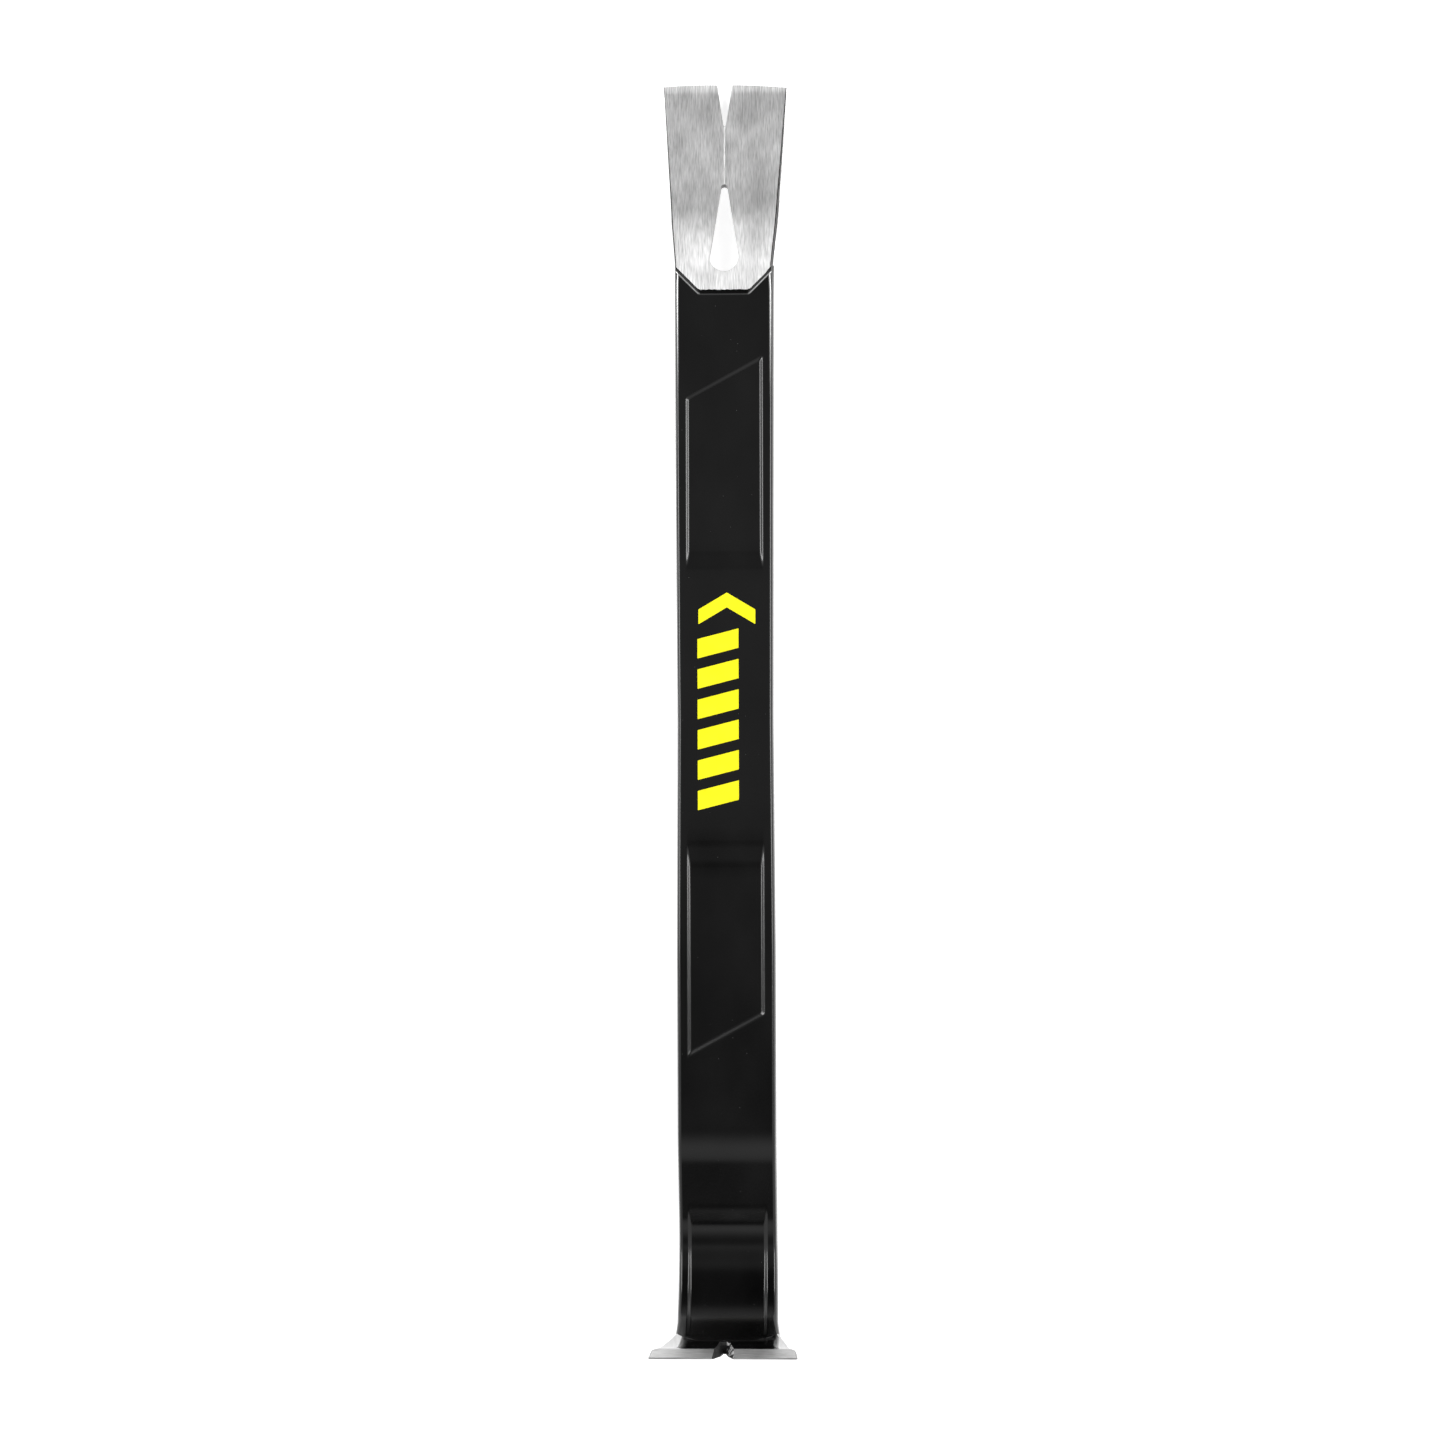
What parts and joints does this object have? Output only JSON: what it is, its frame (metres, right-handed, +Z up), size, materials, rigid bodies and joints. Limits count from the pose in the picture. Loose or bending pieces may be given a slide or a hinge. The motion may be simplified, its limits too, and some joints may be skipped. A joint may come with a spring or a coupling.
{
  "type": "flat pry bar",
  "caption": "Forged flat pry bar with a slotted straight claw, a recessed shank, a rocker heel and a flared hook claw, black coated with bare ground claws.",
  "frame": {"origin": "bottom centre of the bar's box, as it lies on its back on a bench, resting on the rocker heel and on the straight claw's tip", "axes": "+Y along the shank towards the straight claw, +Z up, out of the front of the shank and the way the hook claw points, +X across the width"},
  "size_m": [0.0694, 0.6012, 0.0643],
  "materials": {
    "bare_steel": "ground lengthwise on the straight claw and crosswise on the hook tip, semi-bright",
    "black_coat": "satin black coat with a faint orange peel",
    "yellow_print": "opaque matt screen print"
  },
  "bodies": {
    "root": {"forged_bar": "bare_steel", "black_coat": "black_coat", "print_bar_1": "yellow_print", "print_bar_2": "yellow_print", "print_bar_3": "yellow_print", "print_bar_4": "yellow_print", "print_bar_5": "yellow_print", "print_bar_6": "yellow_print", "print_chevron": "yellow_print"}
  },
  "joints": []
}
